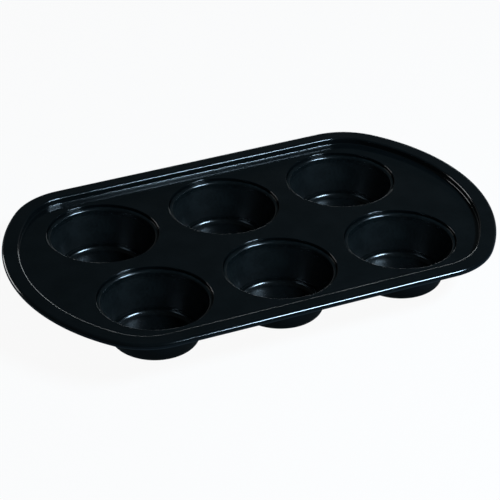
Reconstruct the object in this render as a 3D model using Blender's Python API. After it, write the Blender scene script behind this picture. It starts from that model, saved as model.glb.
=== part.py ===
"""A six-cup muffin pan: a pressed deck with a wired rim, and six drawn cups hooked round the deck's collars.

Lengths are in metres. The long side runs along X, the back is at +Y, and the cups stand on z = 0.
"""
import math

import bmesh
import bpy

# Sheet metal, and the gap that touching pieces keep
SHEET = 0.0008
SEAT_GAP = 0.0003

# Cups: the lip's outermost ring, its crest below the deck, the shoulder, the wall and the floor
LIP_RADIUS = 0.0392
LIP_DROP = 0.0019
SHOULDER_INSIDE = 0.0012
WALL_TAPER = math.radians(14.2)
FLOOR_FILLET = 0.0040
CUP_DEPTH = 0.0320

# Collars turned down round the deck's holes: their bend's radius, and the straight part below it
COLLAR_BEND = 0.0004
COLLAR_GRIP = 0.0030

# Flat deck left between neighbouring lips, and from the outermost lips to the step
WEB_ALONG = 0.0145
WEB_ACROSS = 0.0126
END_LAND = 0.0318
SIDE_LAND = 0.0102

# Raised rim: a step up to a flat flange, whose width runs to the middle of the step
FLANGE_WIDTH = 0.0114
STEP_HEIGHT = 0.0047
STEP_LEAN = math.radians(2.0)
CREST_INSIDE = 0.0003
FOOT_RADIUS = 0.0006

# Plan of the pan: rounded corners, and ends that bow out between them
CORNER_RADIUS = 0.0505
END_BOW = 0.0210

# Wire in the rim, and how far the edge is curled round it
WIRE_DIAMETER = 0.0024
CURL_SWEEP = math.radians(290.0)

# Fineness of the round stretches
CUP_SIDES = 28
CORNER_SEGMENTS = 4
END_SEGMENTS = 12
CURL_SEGMENTS = 9
WIRE_SIDES = 8
FILLET_SEGMENTS = 3
BEND_SEGMENTS = 2
SMOOTH_ANGLE = math.radians(50.0)

COLUMNS = ("left", "middle", "right")
ROWS = ("front", "back")

# Sizes that follow from those above
DECK_TOP = CUP_DEPTH
RIM_TOP = DECK_TOP + STEP_HEIGHT
PITCH_X = 2 * LIP_RADIUS + WEB_ALONG
PITCH_Y = 2 * LIP_RADIUS + WEB_ACROSS
HALF_LENGTH = (len(COLUMNS) - 1) / 2 * PITCH_X + LIP_RADIUS + END_LAND + FLANGE_WIDTH
HALF_WIDTH = (len(ROWS) - 1) / 2 * PITCH_Y + LIP_RADIUS + SIDE_LAND + FLANGE_WIDTH
COLLAR_END = DECK_TOP - COLLAR_BEND - COLLAR_GRIP
WIRE_RADIUS = WIRE_DIAMETER / 2
CURL_INSIDE = WIRE_RADIUS + SEAT_GAP
CURL_OUTSIDE = CURL_INSIDE + SHEET
UP = math.pi / 2


def arc(centre, radius, start, end, segments):
    """Points of an arc in a cross-section, angles counted from the outward direction towards up."""
    turns = [start + (end - start) * i / segments for i in range(segments + 1)]
    return [(centre[0] + radius * math.cos(t), centre[1] + radius * math.sin(t)) for t in turns]


def circle(centre):
    """A path round a cup's axis; its reach is the radius."""
    def path(reach):
        turns = [2 * math.pi * i / CUP_SIDES for i in range(CUP_SIDES)]
        return [(centre[0] + reach * math.cos(t), centre[1] + reach * math.sin(t)) for t in turns]
    return path


def pan_outline(reach):
    """The pan's plan, drawn out by reach from its edge, or drawn in where reach is less than zero.

    Each end is an arc of a large circle that runs on smoothly into the corners' arcs.
    """
    corner_x = HALF_LENGTH - CORNER_RADIUS - END_BOW
    corner_y = HALF_WIDTH - CORNER_RADIUS
    end_radius = CORNER_RADIUS + END_BOW / 2 + corner_y ** 2 / (2 * END_BOW)
    end_x = HALF_LENGTH - end_radius
    meet = math.atan2(corner_y, corner_x - end_x)
    end = arc((end_x, 0), end_radius + reach, -meet, meet, END_SEGMENTS)
    corner = arc((corner_x, corner_y), CORNER_RADIUS + reach, meet, UP, CORNER_SEGMENTS)
    right = [(x, -y) for x, y in reversed(corner[1:])] + end + corner[1:]
    return right + [(-x, -y) for x, y in right]


def sweep(bm, profile, path, closed=False):
    """Carries a cross-section of (reach, z) points along a closed path, and returns its end rings."""
    rings = [[bm.verts.new((x, y, z)) for x, y in path(reach)] for reach, z in profile]
    pairs = list(zip(rings, rings[1:]))
    if closed:
        pairs.append((rings[-1], rings[0]))
    for near, far in pairs:
        for i in range(len(near)):
            bm.faces.new((near[i - 1], near[i], far[i], far[i - 1]))
    return rings[0], rings[-1]


def fill(bm, rings):
    """Closes a flat face inside the first ring and outside the others."""
    edges = [bm.edges.get((ring[i - 1], ring[i])) for ring in rings for i in range(len(ring))]
    bmesh.ops.triangle_fill(bm, edges=edges, use_beauty=True)


def finish(bm, name, colour, roughness, metallic=0.0):
    """Turns the mesh into a named object with its own material."""
    bmesh.ops.recalc_face_normals(bm, faces=bm.faces)
    mesh = bpy.data.meshes.new(name)
    bm.to_mesh(mesh)
    bm.free()
    mesh.shade_smooth()
    mesh.set_sharp_from_angle(angle=SMOOTH_ANGLE)
    material = bpy.data.materials.new(name)
    material.use_nodes = True
    shader = material.node_tree.nodes["Principled BSDF"]
    shader.inputs["Base Color"].default_value = (*colour, 1)
    shader.inputs["Roughness"].default_value = roughness
    shader.inputs["Metallic"].default_value = metallic
    mesh.materials.append(material)
    piece = bpy.data.objects.new(name, mesh)
    bpy.context.scene.collection.objects.link(piece)
    return piece


def rim_section():
    """The deck's edge from its flat top out over the step, the flange and the curl, and back beneath."""
    crest_radius = CREST_INSIDE + SHEET
    bends = crest_radius + FOOT_RADIUS
    rise = STEP_HEIGHT - bends * (1 - math.sin(STEP_LEAN))
    run = bends * math.cos(STEP_LEAN) + rise * math.tan(STEP_LEAN)
    foot_centre = (-FLANGE_WIDTH - run / 2, DECK_TOP + FOOT_RADIUS)
    crest_centre = (-FLANGE_WIDTH + run / 2, RIM_TOP - crest_radius)
    curl_centre = (-CURL_OUTSIDE, RIM_TOP - CURL_OUTSIDE)
    curl_end = UP - CURL_SWEEP
    top = (arc(foot_centre, FOOT_RADIUS, -UP, -STEP_LEAN, FILLET_SEGMENTS)
           + arc(crest_centre, crest_radius, math.pi - STEP_LEAN, UP, FILLET_SEGMENTS)
           + arc(curl_centre, CURL_OUTSIDE, UP, curl_end, CURL_SEGMENTS))
    under = (arc(foot_centre, FOOT_RADIUS + SHEET, -UP, -STEP_LEAN, FILLET_SEGMENTS)
             + arc(crest_centre, CREST_INSIDE, math.pi - STEP_LEAN, UP, FILLET_SEGMENTS)
             + arc(curl_centre, CURL_INSIDE, UP, curl_end, CURL_SEGMENTS))
    return top + under[::-1]


def collar_section():
    """The edge of a hole in the deck, bent down and cut off level."""
    centre = (LIP_RADIUS + COLLAR_BEND, DECK_TOP - COLLAR_BEND)
    outside = LIP_RADIUS + SHEET
    top = arc(centre, COLLAR_BEND, UP, math.pi, BEND_SEGMENTS)
    return top + [(LIP_RADIUS, COLLAR_END), (outside, COLLAR_END), (outside, DECK_TOP - SHEET)]


def cup_section():
    """A cup from the middle of its floor up the inside, over the shoulder, round the collar and down."""
    inner_leg = LIP_RADIUS - SEAT_GAP
    outer_leg = LIP_RADIUS + SHEET + SEAT_GAP
    crest = DECK_TOP - LIP_DROP
    hook_end = DECK_TOP - SHEET - SEAT_GAP
    hook_floor = COLLAR_END - SEAT_GAP
    shoulder_radius = SHOULDER_INSIDE + SHEET
    shoulder_centre = (inner_leg - SHEET, crest - shoulder_radius)
    wall_top = arc(shoulder_centre, shoulder_radius, math.pi - WALL_TAPER, UP, FILLET_SEGMENTS)

    def wall_reach(z):
        return wall_top[0][0] - (wall_top[0][1] - z) * math.tan(WALL_TAPER)

    fillet_z = SHEET + FLOOR_FILLET
    fillet_centre = (wall_reach(fillet_z) - FLOOR_FILLET / math.cos(WALL_TAPER), fillet_z)
    inside = arc(fillet_centre, FLOOR_FILLET, -UP, -WALL_TAPER, FILLET_SEGMENTS) + wall_top
    hook = [(inner_leg, crest - SHEET), (inner_leg, hook_floor), (outer_leg, hook_floor), (outer_leg, hook_end),
            (outer_leg + SHEET, hook_end), (outer_leg + SHEET, hook_floor - SHEET),
            (inner_leg - SHEET, hook_floor - SHEET)]
    outside = (arc(shoulder_centre, SHOULDER_INSIDE, UP, math.pi - WALL_TAPER, FILLET_SEGMENTS)
               + arc(fillet_centre, FLOOR_FILLET + SHEET, -WALL_TAPER, -UP, FILLET_SEGMENTS))
    return inside + hook + outside


def cup_places():
    """Every cup's name and the place of its axis."""
    for row, row_name in enumerate(ROWS):
        for column, column_name in enumerate(COLUMNS):
            x = (column - (len(COLUMNS) - 1) / 2) * PITCH_X
            y = (row - (len(ROWS) - 1) / 2) * PITCH_Y
            yield f"cup_{row_name}_{column_name}", (x, y)


def add_deck():
    """The deck, its rim and its six collars, pressed from one sheet."""
    bm = bmesh.new()
    tops, undersides = [], []
    sections = [(rim_section(), pan_outline)]
    sections += [(collar_section(), circle(place)) for _, place in cup_places()]
    for section, path in sections:
        top, underside = sweep(bm, section, path)
        tops.append(top)
        undersides.append(underside)
    fill(bm, tops)
    fill(bm, undersides)
    return finish(bm, "deck_sheet", (0.012, 0.018, 0.021), 0.3)


def add_cup(name, place):
    """One drawn cup, standing on its floor at its own place."""
    bm = bmesh.new()
    floor, base = sweep(bm, cup_section(), circle((0, 0)))
    bm.faces.new(floor)
    bm.faces.new(base)
    cup = finish(bm, name, (0.010, 0.017, 0.020), 0.25)
    cup.location = (*place, 0)
    return cup


def add_wire():
    """The steel wire that runs round inside the curled edge."""
    bm = bmesh.new()
    centre = (-CURL_OUTSIDE, RIM_TOP - CURL_OUTSIDE)
    section = arc(centre, WIRE_RADIUS, 0, 2 * math.pi, WIRE_SIDES)[:-1]
    sweep(bm, section, pan_outline, closed=True)
    return finish(bm, "rim_wire", (0.45, 0.45, 0.46), 0.35, metallic=1.0)


for old in list(bpy.data.objects):
    bpy.data.objects.remove(old, do_unlink=True)
add_deck()
for cup_name, cup_place in cup_places():
    add_cup(cup_name, cup_place)
add_wire()
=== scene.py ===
"""Looks for a six-cup muffin pan: finely drawn pieces, their baked coating, a plain studio and the camera.

Lengths are in metres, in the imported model's frame: the long side along X, the back at +Y, the cups on z = 0.
"""
import math

import bmesh
import bpy
from mathutils import Matrix, Vector


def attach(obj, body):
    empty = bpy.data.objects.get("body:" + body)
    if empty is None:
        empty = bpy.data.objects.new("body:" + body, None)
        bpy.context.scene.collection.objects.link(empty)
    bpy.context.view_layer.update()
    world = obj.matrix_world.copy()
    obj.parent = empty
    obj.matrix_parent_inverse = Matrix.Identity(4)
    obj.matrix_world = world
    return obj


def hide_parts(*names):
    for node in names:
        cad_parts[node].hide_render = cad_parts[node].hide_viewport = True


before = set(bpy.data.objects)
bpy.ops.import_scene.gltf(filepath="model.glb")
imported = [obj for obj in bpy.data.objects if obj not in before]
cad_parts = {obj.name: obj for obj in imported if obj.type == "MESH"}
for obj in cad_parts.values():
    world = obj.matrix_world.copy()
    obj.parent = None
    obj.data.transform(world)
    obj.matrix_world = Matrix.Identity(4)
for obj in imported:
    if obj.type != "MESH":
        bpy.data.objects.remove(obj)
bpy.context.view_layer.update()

# Sheet metal and the fit of its seams
SHEET = 0.0008
SEAT_GAP = 0.0003

# Cups and the collars that carry them
LIP_RADIUS = 0.0392
LIP_DROP = 0.0019
SHOULDER_INSIDE = 0.0012
WALL_TAPER = math.radians(14.2)
FLOOR_FILLET = 0.0040
CUP_DEPTH = 0.0320
COLLAR_BEND = 0.0004
COLLAR_GRIP = 0.0030

# Deck and rim
WEB_ALONG = 0.0145
WEB_ACROSS = 0.0126
END_LAND = 0.0318
SIDE_LAND = 0.0102
FLANGE_WIDTH = 0.0114
STEP_HEIGHT = 0.0047
STEP_LEAN = math.radians(2.0)
CREST_INSIDE = 0.0003
FOOT_RADIUS = 0.0006
CORNER_RADIUS = 0.0505
END_BOW = 0.0210
WIRE_DIAMETER = 0.0024
CURL_SWEEP = math.radians(290.0)

# Fineness of the drawn surfaces
CUP_SIDES = 168
CORNER_SEGMENTS = 36
END_SEGMENTS = 96
SIDE_SEGMENTS = 12
CURL_SEGMENTS = 48
WIRE_SIDES = 20
BEND_SEGMENTS = 10
SMOOTH_ANGLE = math.radians(50.0)

# Narrow strips that keep flats flat beside their bends, and how long a run is to get them
STRIP = 0.00025
LONG_RUN = 5 * STRIP

# Bevel where a cup's lip turns down inside the collar, and the small disc that closes a floor's middle
HOOK_BEVEL = 0.0002
DISC_RADIUS = 0.0004

COLUMNS = ("left", "middle", "right")
ROWS = ("front", "back")

# Sizes that follow from those above
DECK_TOP = CUP_DEPTH
RIM_TOP = DECK_TOP + STEP_HEIGHT
PITCH_X = 2 * LIP_RADIUS + WEB_ALONG
PITCH_Y = 2 * LIP_RADIUS + WEB_ACROSS
HALF_LENGTH = (len(COLUMNS) - 1) / 2 * PITCH_X + LIP_RADIUS + END_LAND + FLANGE_WIDTH
HALF_WIDTH = (len(ROWS) - 1) / 2 * PITCH_Y + LIP_RADIUS + SIDE_LAND + FLANGE_WIDTH
COLLAR_END = DECK_TOP - COLLAR_BEND - COLLAR_GRIP
WIRE_RADIUS = WIRE_DIAMETER / 2
CURL_INSIDE = WIRE_RADIUS + SEAT_GAP
CURL_OUTSIDE = CURL_INSIDE + SHEET
UP = math.pi / 2

# The coating's noises as (scale, detail, roughness): soft clouds, fine grain and the wider orange peel
CLOUD = (55.0, 3.0, 0.55)
GRAIN = (650.0, 2.0, 0.6)
PEEL = (260.0, 1.0, 0.4)

# Levels of the clouds between which the tone and the roughness change, the bumps' depths and the gloss
TONE_LEVELS = (0.31, 0.69)
DULL_LEVELS = (0.3, 0.75)
PEEL_DEPTH = 0.00006
GRAIN_DEPTH = 0.00002
COATING_IOR = 1.6

# Each coating's tones and roughness, how strong its peel and grain are, and how much the grain speckles it
DECK_COATING = {"dark": (0.0019, 0.0029, 0.0033), "light": (0.0030, 0.0043, 0.0048),
                "roughness": (0.11, 0.13), "strengths": (0.15, 0.15), "speckle": 0.7}
CUP_COATING = {"dark": (0.0020, 0.0032, 0.0036), "light": (0.0060, 0.0084, 0.0089),
               "roughness": (0.17, 0.20), "strengths": (0.4, 0.6), "speckle": 1.3, "worn": 0.13}

# By height in a cup, as a share of its depth: how much duller it is worn, and the multiplier of its tone, a
# painted shade that darkens it towards the floor
WORN_ZONES = ((0.0, 0.7), (0.030, 0.7), (0.050, 0.0), (0.110, 0.0),
              (0.20, 1.0), (0.80, 1.0), (0.855, 0.0), (1.0, 0.0))
DEPTH_SHADE = ((0.0, 0.35), (0.15, 0.5), (0.45, 0.8), (0.7, 1.0))

# Steel wire: its noise as (scale, detail), two tones, roughness, and its bump's strength and depth
STEEL_NOISE = (320.0, 3.0)
STEEL_TONES = ((0.36, 0.36, 0.37), (0.50, 0.50, 0.51))
STEEL_ROUGHNESS = (0.26, 0.44)
STEEL_BUMP = (0.3, 0.00004)

# Floor: its disc, the part of it that glows and isn't matt, and the dim share of that which the pan mirrors
FLOOR_RADIUS = 30.0
FLOOR_SIDES = 64
FLOOR_LEVEL = -0.0002
FLOOR_GLOW = 0.94
FLOOR_MIRRORED = 0.06

# Colours of the floor's matt and glowing parts, to all other rays and to the camera
MATT_UNSEEN = (0.04, 0.055, 0.07, 1)
MATT_SEEN = (0.75, 0.75, 0.75, 1)
GLOW_UNSEEN = (0.55, 0.82, 1.0, 1)
WHITE = (1, 1, 1, 1)

# Surroundings: their dim colour, and a low backdrop that fades out upwards and to its sides, in degrees
SURROUNDINGS = (0.020, 0.027, 0.030, 1)
BACKDROP_AZIMUTH = 154
BACKDROP_TOP = (10, 16)
BACKDROP_SIDE = (35, 50)
BACKDROP_GLOW = 0.12

# Lamps: the place in degrees and metres, the face's width and height, and its radiance and colour
KEY_LAMP = {"azimuth": 40, "elevation": 45, "distance": 1.15, "width": 0.46, "height": 0.15,
            "glow": 82.0, "colour": (0.56, 0.79, 1.0)}
EDGE_LAMP = {"azimuth": -147, "elevation": 9, "distance": 1.6, "width": 0.75, "height": 0.36,
             "glow": 5.0, "colour": (0.96, 0.99, 1.0)}
STRIP_LAMP = {"azimuth": 149, "elevation": 11, "distance": 1.6, "width": 0.75, "height": 0.20,
              "glow": 4.4, "colour": (0.90, 0.97, 1.0)}

# The photograph's view, about a point of the deck's top: degrees, and focal length and picture in pixels
VIEW_AZIMUTH = -25.906
VIEW_ELEVATION = 31.569
VIEW_ROLL = 1.022
VIEW_DISTANCE = 1.6113
VIEW_AIM = (-0.0091, -0.0168)
VIEW_FOCAL = 2339.5
PICTURE = 500
SENSOR = 36.0
NEAREST = 0.05
FARTHEST = 100.0


def arc(centre, radius, start, end, segments=BEND_SEGMENTS):
    """Points of an arc in a cross-section, angles counted from the outward direction towards up."""
    turns = [start + (end - start) * i / segments for i in range(segments + 1)]
    return [(centre[0] + radius * math.cos(t), centre[1] + radius * math.sin(t)) for t in turns]


def circle(reach):
    """A ring round a cup's axis."""
    turns = [2 * math.pi * i / CUP_SIDES for i in range(CUP_SIDES)]
    return [(reach * math.cos(t), reach * math.sin(t)) for t in turns]


def circle_at(centre):
    """Rings round an axis elsewhere."""
    return lambda reach: [(centre[0] + x, centre[1] + y) for x, y in circle(reach)]


def pan_outline(reach):
    """The pan's plan, drawn out by reach from its edge, or drawn in where reach is less than zero.

    Each end is an arc of a large circle that runs on smoothly into the corners' arcs.
    """
    corner_x = HALF_LENGTH - CORNER_RADIUS - END_BOW
    corner_y = HALF_WIDTH - CORNER_RADIUS
    end_radius = CORNER_RADIUS + END_BOW / 2 + corner_y ** 2 / (2 * END_BOW)
    end_x = HALF_LENGTH - end_radius
    meet = math.atan2(corner_y, corner_x - end_x)
    end = arc((end_x, 0), end_radius + reach, -meet, meet, END_SEGMENTS)
    corner = arc((corner_x, corner_y), CORNER_RADIUS + reach, meet, UP, CORNER_SEGMENTS)
    side_y = HALF_WIDTH + reach
    long_side = [(corner_x * k / SIDE_SEGMENTS, side_y) for k in range(SIDE_SEGMENTS - 1, 0, -1)]
    quarter = end[END_SEGMENTS // 2:] + corner[1:] + long_side
    right = [(x, -y) for x, y in reversed(quarter[1:])] + quarter
    left = [(-x, -y) for x, y in right]
    return right + [(0.0, side_y)] + left + [(0.0, -side_y)]


def strips(points):
    """Adds a point close beside each end of every long straight run of a cross-section."""
    out = points[:1]
    for a, b in zip(points, points[1:]):
        run = math.dist(a, b)
        if run > LONG_RUN:
            for share in (STRIP / run, 1 - STRIP / run):
                out.append((a[0] + (b[0] - a[0]) * share, a[1] + (b[1] - a[1]) * share))
        out.append(b)
    return out


def sweep(bm, profile, path, closed=False):
    """Carries a cross-section of (reach, z) points along a closed path, and returns its end rings."""
    rings = [[bm.verts.new((x, y, z)) for x, y in path(reach)] for reach, z in profile]
    pairs = list(zip(rings, rings[1:]))
    if closed:
        pairs.append((rings[-1], rings[0]))
    for near, far in pairs:
        for i in range(len(near)):
            bm.faces.new((near[i - 1], near[i], far[i], far[i - 1]))
    return rings[0], rings[-1]


def fill(bm, rings):
    """Closes a flat face inside the first ring and outside the others."""
    edges = [bm.edges.get((ring[i - 1], ring[i])) for ring in rings for i in range(len(ring))]
    bmesh.ops.triangle_fill(bm, edges=edges, use_beauty=True)


def finish_mesh(bm, name, material, node):
    """Turns the mesh into a piece that stands for its solid."""
    bmesh.ops.recalc_face_normals(bm, faces=bm.faces)
    mesh = bpy.data.meshes.new(name)
    bm.to_mesh(mesh)
    bm.free()
    mesh.shade_smooth()
    mesh.set_sharp_from_angle(angle=SMOOTH_ANGLE)
    mesh.materials.append(material)
    piece = bpy.data.objects.new(name, mesh)
    bpy.context.scene.collection.objects.link(piece)
    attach(piece, "root")
    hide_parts(node)
    return piece


def rim_section():
    """The deck's edge from its flat top out over the step, the flange and the curl, and back beneath."""
    crest_radius = CREST_INSIDE + SHEET
    bends = crest_radius + FOOT_RADIUS
    rise = STEP_HEIGHT - bends * (1 - math.sin(STEP_LEAN))
    run = bends * math.cos(STEP_LEAN) + rise * math.tan(STEP_LEAN)
    foot_centre = (-FLANGE_WIDTH - run / 2, DECK_TOP + FOOT_RADIUS)
    crest_centre = (-FLANGE_WIDTH + run / 2, RIM_TOP - crest_radius)
    curl_centre = (-CURL_OUTSIDE, RIM_TOP - CURL_OUTSIDE)
    curl_end = UP - CURL_SWEEP
    start_top = (foot_centre[0] - STRIP, DECK_TOP)
    start_under = (foot_centre[0] - STRIP, DECK_TOP - SHEET)
    top = ([start_top] + arc(foot_centre, FOOT_RADIUS, -UP, -STEP_LEAN)
           + arc(crest_centre, crest_radius, math.pi - STEP_LEAN, UP)
           + arc(curl_centre, CURL_OUTSIDE, UP, curl_end, CURL_SEGMENTS))
    under = ([start_under] + arc(foot_centre, FOOT_RADIUS + SHEET, -UP, -STEP_LEAN)
             + arc(crest_centre, CREST_INSIDE, math.pi - STEP_LEAN, UP)
             + arc(curl_centre, CURL_INSIDE, UP, curl_end, CURL_SEGMENTS))
    return strips(top) + strips(under)[::-1]


def collar_section():
    """The edge of a hole in the deck, bent down and cut off level."""
    centre = (LIP_RADIUS + COLLAR_BEND, DECK_TOP - COLLAR_BEND)
    outside = LIP_RADIUS + SHEET
    top = [(centre[0] + STRIP, DECK_TOP)] + arc(centre, COLLAR_BEND, UP, math.pi)
    under = [(outside, DECK_TOP - SHEET), (outside + STRIP, DECK_TOP - SHEET)]
    return strips(top + [(LIP_RADIUS, COLLAR_END), (outside, COLLAR_END)] + under)


def cup_section():
    """A cup from the middle of its floor up the inside, over the shoulder, round the collar and down."""
    inner_leg = LIP_RADIUS - SEAT_GAP
    outer_leg = LIP_RADIUS + SHEET + SEAT_GAP
    crest = DECK_TOP - LIP_DROP
    hook_end = DECK_TOP - SHEET - SEAT_GAP
    hook_floor = COLLAR_END - SEAT_GAP
    shoulder_radius = SHOULDER_INSIDE + SHEET
    shoulder_centre = (inner_leg - SHEET, crest - shoulder_radius)
    wall_top = arc(shoulder_centre, shoulder_radius, math.pi - WALL_TAPER, UP)

    def wall_reach(z):
        return wall_top[0][0] - (wall_top[0][1] - z) * math.tan(WALL_TAPER)

    fillet_z = SHEET + FLOOR_FILLET
    fillet_centre = (wall_reach(fillet_z) - FLOOR_FILLET / math.cos(WALL_TAPER), fillet_z)
    inside = [(DISC_RADIUS, SHEET)] + arc(fillet_centre, FLOOR_FILLET, -UP, -WALL_TAPER) + wall_top
    hook = [(inner_leg - HOOK_BEVEL, crest), (inner_leg, crest - HOOK_BEVEL), (inner_leg, hook_floor),
            (outer_leg, hook_floor), (outer_leg, hook_end), (outer_leg + SHEET, hook_end),
            (outer_leg + SHEET, hook_floor - SHEET), (inner_leg - SHEET, hook_floor - SHEET)]
    outside = (arc(shoulder_centre, SHOULDER_INSIDE, UP, math.pi - WALL_TAPER)
               + arc(fillet_centre, FLOOR_FILLET + SHEET, -WALL_TAPER, -UP) + [(DISC_RADIUS, 0.0)])
    return strips(inside + hook + outside)


def nodes_of(material):
    """A new material's node tree, which holds a shader and an output, and the shader."""
    material.use_nodes = True
    tree = material.node_tree
    return tree, tree.nodes["Principled BSDF"]


def add_node(tree, kind, **settings):
    """A new shader node, with its properties and, under in_ names, the plain values of its inputs."""
    made = tree.nodes.new(kind)
    for key, value in settings.items():
        if key.startswith("in_"):
            made.inputs[key[3:]].default_value = value
        else:
            setattr(made, key, value)
    return made


def feed(tree, source, target):
    """Gives an input another node's output, or a plain value."""
    if isinstance(source, bpy.types.NodeSocket):
        tree.links.new(source, target)
    else:
        target.default_value = source


def reckon(tree, operation, *terms):
    """The result of a Math node."""
    made = add_node(tree, "ShaderNodeMath", operation=operation)
    for target, term in zip(made.inputs, terms):
        feed(tree, term, target)
    return made.outputs["Value"]


def remap(tree, value, low, high, to_low=0.0, to_high=1.0, interpolation="LINEAR"):
    """A value carried over from the range low to high to another range."""
    made = add_node(tree, "ShaderNodeMapRange", interpolation_type=interpolation)
    for target, source in zip(made.inputs, (value, low, high, to_low, to_high)):
        feed(tree, source, target)
    return made.outputs["Result"]


def noise(tree, place, scale, detail, roughness=0.5):
    """The level of a noise texture."""
    made = add_node(tree, "ShaderNodeTexNoise", in_Scale=scale, in_Detail=detail, in_Roughness=roughness)
    feed(tree, place, made.inputs["Vector"])
    return made.outputs["Fac"]


def ramp(tree, level, stops):
    """The colour at a level, between stops of (position, colour) from low to high."""
    made = add_node(tree, "ShaderNodeValToRGB")
    elements = made.color_ramp.elements
    elements[0].position = stops[0][0]
    elements[1].position = stops[-1][0]
    for position, _ in stops[1:-1]:
        elements.new(position)
    for element, (_, colour) in zip(elements, stops):
        element.color = (*colour, 1)
    feed(tree, level, made.inputs["Fac"])
    return made.outputs["Color"]


def grey_ramp(tree, level, stops):
    """The same for stops of (position, grey)."""
    return ramp(tree, level, [(position, (grey, grey, grey)) for position, grey in stops])


def mix_colours(tree, factor, a, b, blend_type="MIX"):
    """Two colours mixed."""
    made = add_node(tree, "ShaderNodeMix", data_type="RGBA", blend_type=blend_type)
    for name, source in (("Factor", factor), ("A", a), ("B", b)):
        feed(tree, source, made.inputs[name])
    return made.outputs["Result"]


def mix_shaders(tree, factor, a, b):
    """Two shaders mixed."""
    made = add_node(tree, "ShaderNodeMixShader")
    for target, source in zip(made.inputs, (factor, a, b)):
        feed(tree, source, target)
    return made.outputs["Shader"]


def bump(tree, height, strength, depth, over=None):
    """The normal of a bumpy surface, laid over another bumpy surface where one is given."""
    made = add_node(tree, "ShaderNodeBump", in_Strength=strength, in_Distance=depth)
    feed(tree, height, made.inputs["Height"])
    if over is not None:
        feed(tree, over, made.inputs["Normal"])
    return made.outputs["Normal"]


def height_of(tree, place):
    """The Z coordinate of a place or a direction."""
    parts = add_node(tree, "ShaderNodeSeparateXYZ")
    feed(tree, place, parts.inputs["Vector"])
    return parts.outputs["Z"]


def coating(name, dark, light, roughness, strengths, speckle, worn=0.0):
    """A baked release coating: near black, clouded, speckled by its grain, with orange peel.

    Where worn is given it is a drawn cup's: its flat wall and floor are duller than its rounded shoulder
    and fillet, and its tone is darkened towards the floor by painted shade.
    """
    material = bpy.data.materials.new(name)
    tree, shader = nodes_of(material)
    place = add_node(tree, "ShaderNodeTexCoord").outputs["Object"]
    cloud = noise(tree, place, *CLOUD)
    grain = noise(tree, place, *GRAIN)
    peel = noise(tree, place, *PEEL)

    # A ramp reads levels from 0 to 1 only, so the sum of the two noises is halved
    speckled = reckon(tree, "MULTIPLY_ADD", grain, speckle, cloud)
    halved = reckon(tree, "MULTIPLY", speckled, 0.5)
    low, high = [(level + 0.5 * speckle) / 2 for level in TONE_LEVELS]
    tone = ramp(tree, halved, [(low, dark), (high, light)])
    dull = remap(tree, cloud, *DULL_LEVELS, *roughness)
    if worn:
        height = remap(tree, height_of(tree, place), 0.0, DECK_TOP)
        zones = grey_ramp(tree, height, WORN_ZONES)
        # Painted shade: the tone darkens towards the floor, where less light reaches down into the cup
        depth = grey_ramp(tree, height, DEPTH_SHADE)
        tone = mix_colours(tree, 1.0, tone, depth, blend_type="MULTIPLY")
        dull = reckon(tree, "MULTIPLY_ADD", zones, worn, dull)
    skin = bump(tree, peel, strengths[0], PEEL_DEPTH)
    skin = bump(tree, grain, strengths[1], GRAIN_DEPTH, over=skin)
    feed(tree, tone, shader.inputs["Base Color"])
    feed(tree, dull, shader.inputs["Roughness"])
    feed(tree, skin, shader.inputs["Normal"])
    shader.inputs["IOR"].default_value = COATING_IOR
    return material


def steel(name):
    """Drawn steel wire, slightly uneven in tone and gloss, with a fine skin."""
    material = bpy.data.materials.new(name)
    tree, shader = nodes_of(material)
    place = add_node(tree, "ShaderNodeTexCoord").outputs["Object"]
    cloud = noise(tree, place, *STEEL_NOISE)
    feed(tree, ramp(tree, cloud, list(zip((0.0, 1.0), STEEL_TONES))), shader.inputs["Base Color"])
    feed(tree, remap(tree, cloud, 0.0, 1.0, *STEEL_ROUGHNESS), shader.inputs["Roughness"])
    feed(tree, bump(tree, cloud, *STEEL_BUMP), shader.inputs["Normal"])
    shader.inputs["Metallic"].default_value = 1.0
    return material


def cup_places():
    """Every cup's node and the place of its axis."""
    for row, row_name in enumerate(ROWS):
        for column, column_name in enumerate(COLUMNS):
            x = (column - (len(COLUMNS) - 1) / 2) * PITCH_X
            y = (row - (len(ROWS) - 1) / 2) * PITCH_Y
            yield f"cup_{row_name}_{column_name}", (x, y)


def add_deck():
    """The deck with its rim and its six collars."""
    bm = bmesh.new()
    tops, undersides = [], []
    sections = [(rim_section(), pan_outline)]
    sections += [(collar_section(), circle_at(place)) for _, place in cup_places()]
    for section, path in sections:
        top, underside = sweep(bm, section, path)
        tops.append(top)
        undersides.append(underside)
    fill(bm, tops)
    fill(bm, undersides)
    return finish_mesh(bm, "deck", coating("deck_coating", **DECK_COATING), "deck_sheet")


def add_cups():
    """The six cups, each at its own place."""
    coat = coating("cup_coating", **CUP_COATING)
    for name, place in cup_places():
        bm = bmesh.new()
        floor, base = sweep(bm, cup_section(), circle)
        bm.faces.new(floor)
        bm.faces.new(base)
        cup = finish_mesh(bm, f"baking_{name}", coat, name)
        cup.location = (*place, 0)


def add_wire():
    """The steel wire inside the curled edge."""
    bm = bmesh.new()
    centre = (-CURL_OUTSIDE, RIM_TOP - CURL_OUTSIDE)
    section = arc(centre, WIRE_RADIUS, 0, 2 * math.pi, WIRE_SIDES)[:-1]
    sweep(bm, section, pan_outline, closed=True)
    finish_mesh(bm, "edge_wire", steel("wire_steel"), "rim_wire")


def direction(azimuth, elevation):
    """The direction towards a place in the studio: azimuth 0 is in front of the pan and 90 at its right."""
    a, e = math.radians(azimuth), math.radians(elevation)
    return Vector((math.sin(a) * math.cos(e), -math.cos(a) * math.cos(e), math.sin(e)))


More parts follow.
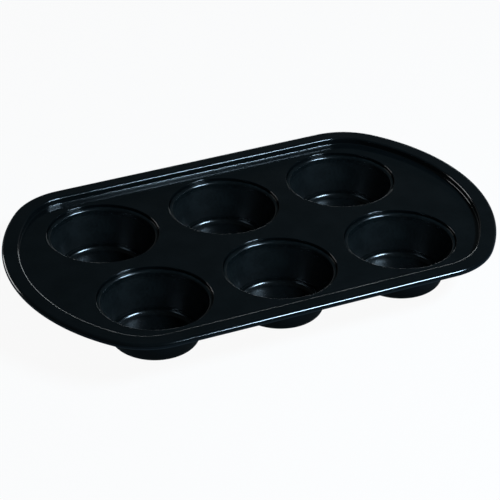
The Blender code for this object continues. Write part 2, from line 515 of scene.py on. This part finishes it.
def softbox(name, azimuth, elevation, distance, width, height, glow, colour):
    """A rectangular lamp that faces the pan; glow is the radiance of its face."""
    lamp = bpy.data.lights.new(name, "AREA")
    lamp.shape = "RECTANGLE"
    lamp.size = width
    lamp.size_y = height
    lamp.energy = glow * math.pi * width * height
    lamp.color = colour
    thing = bpy.data.objects.new(name, lamp)
    towards = direction(azimuth, elevation)
    thing.rotation_mode = "QUATERNION"
    thing.rotation_quaternion = towards.to_track_quat("Z", "Y")
    thing.location = Vector((0, 0, DECK_TOP)) + towards * distance
    bpy.context.scene.collection.objects.link(thing)
    return thing


def add_lamps(deck):
    """The key lights every piece; the other two light the deck alone, for the fine lines along its rim."""
    softbox("key", **KEY_LAMP)
    deck_lamps = [softbox("edge", **EDGE_LAMP), softbox("strip", **STRIP_LAMP)]
    only = bpy.data.collections.new("lit_by_edge")
    only.objects.link(deck)
    for lamp in deck_lamps:
        lamp.light_linking.receiver_collection = only


def floor_material():
    """White to the camera but for a matt share that takes shadow, dim to mirror rays, clear from below."""
    material = bpy.data.materials.new("floor")
    tree, shader = nodes_of(material)
    tree.nodes.remove(shader)
    path = add_node(tree, "ShaderNodeLightPath")
    seen = path.outputs["Is Camera Ray"]
    mirrored = reckon(tree, "ADD", path.outputs["Is Glossy Ray"], path.outputs["Is Transmission Ray"])
    seen_or_mirrored = reckon(tree, "MULTIPLY_ADD", mirrored, FLOOR_MIRRORED, seen)
    share = reckon(tree, "MULTIPLY", seen_or_mirrored, FLOOR_GLOW)
    matt = add_node(tree, "ShaderNodeBsdfDiffuse")
    feed(tree, mix_colours(tree, seen, MATT_UNSEEN, MATT_SEEN), matt.inputs["Color"])
    bright = add_node(tree, "ShaderNodeEmission", in_Strength=1.0)
    feed(tree, mix_colours(tree, seen, GLOW_UNSEEN, WHITE), bright.inputs["Color"])
    above = mix_shaders(tree, share, matt.outputs["BSDF"], bright.outputs["Emission"])
    below = add_node(tree, "ShaderNodeBsdfTransparent").outputs["BSDF"]
    from_below = add_node(tree, "ShaderNodeNewGeometry").outputs["Backfacing"]
    surface = mix_shaders(tree, from_below, above, below)
    feed(tree, surface, tree.nodes["Material Output"].inputs["Surface"])
    return material


def add_floor():
    """A wide pale disc just under the cups."""
    bm = bmesh.new()
    turns = [2 * math.pi * i / FLOOR_SIDES for i in range(FLOOR_SIDES)]
    ring = [(FLOOR_RADIUS * math.cos(t), FLOOR_RADIUS * math.sin(t), FLOOR_LEVEL) for t in turns]
    bm.faces.new([bm.verts.new(corner) for corner in ring])
    mesh = bpy.data.meshes.new("floor")
    bm.to_mesh(mesh)
    bm.free()
    mesh.materials.append(floor_material())
    floor = bpy.data.objects.new("floor", mesh)
    bpy.context.scene.collection.objects.link(floor)


def add_world():
    """White to the camera; to the pan, dim, with a faint low backdrop behind it to the right."""
    world = bpy.data.worlds.new("studio")
    bpy.context.scene.world = world
    world.use_nodes = True
    tree = world.node_tree
    place = add_node(tree, "ShaderNodeTexCoord").outputs["Generated"]
    low_from, low_to = [math.sin(math.radians(angle)) for angle in BACKDROP_TOP]
    low = remap(tree, height_of(tree, place), low_from, low_to, 1.0, 0.0, interpolation="SMOOTHSTEP")
    facing = add_node(tree, "ShaderNodeVectorMath", operation="DOT_PRODUCT")
    feed(tree, place, facing.inputs[0])
    feed(tree, direction(BACKDROP_AZIMUTH, 0), facing.inputs[1])
    inner, outer = [math.cos(math.radians(angle)) for angle in BACKDROP_SIDE]
    behind = remap(tree, facing.outputs["Value"], outer, inner)
    backdrop = reckon(tree, "MULTIPLY", reckon(tree, "MULTIPLY", low, behind), BACKDROP_GLOW)
    seen = add_node(tree, "ShaderNodeLightPath").outputs["Is Camera Ray"]
    white = reckon(tree, "MAXIMUM", seen, backdrop)
    tint = mix_colours(tree, white, SURROUNDINGS, WHITE)
    feed(tree, tint, tree.nodes["Background"].inputs["Color"])


def add_camera():
    """The photograph's view."""
    back = direction(VIEW_AZIMUTH, VIEW_ELEVATION)
    aim = Vector((*VIEW_AIM, DECK_TOP))
    a, roll = math.radians(VIEW_AZIMUTH), math.radians(VIEW_ROLL)
    right = Vector((math.cos(a), math.sin(a), 0))
    up = back.cross(right)
    right_rolled = math.cos(roll) * right + math.sin(roll) * up
    up_rolled = math.cos(roll) * up - math.sin(roll) * right
    lens = bpy.data.cameras.new("view")
    lens.sensor_width = SENSOR
    lens.lens = VIEW_FOCAL * SENSOR / PICTURE
    lens.clip_start = NEAREST
    lens.clip_end = FARTHEST
    camera = bpy.data.objects.new("view", lens)
    camera.rotation_mode = "QUATERNION"
    camera.rotation_quaternion = Matrix((right_rolled, up_rolled, back)).transposed().to_quaternion()
    camera.location = aim + back * VIEW_DISTANCE
    bpy.context.scene.collection.objects.link(camera)
    bpy.context.scene.camera = camera


deck = add_deck()
add_cups()
add_wire()
add_floor()
add_world()
add_lamps(deck)
add_camera()
bpy.context.scene.view_settings.view_transform = "Standard"
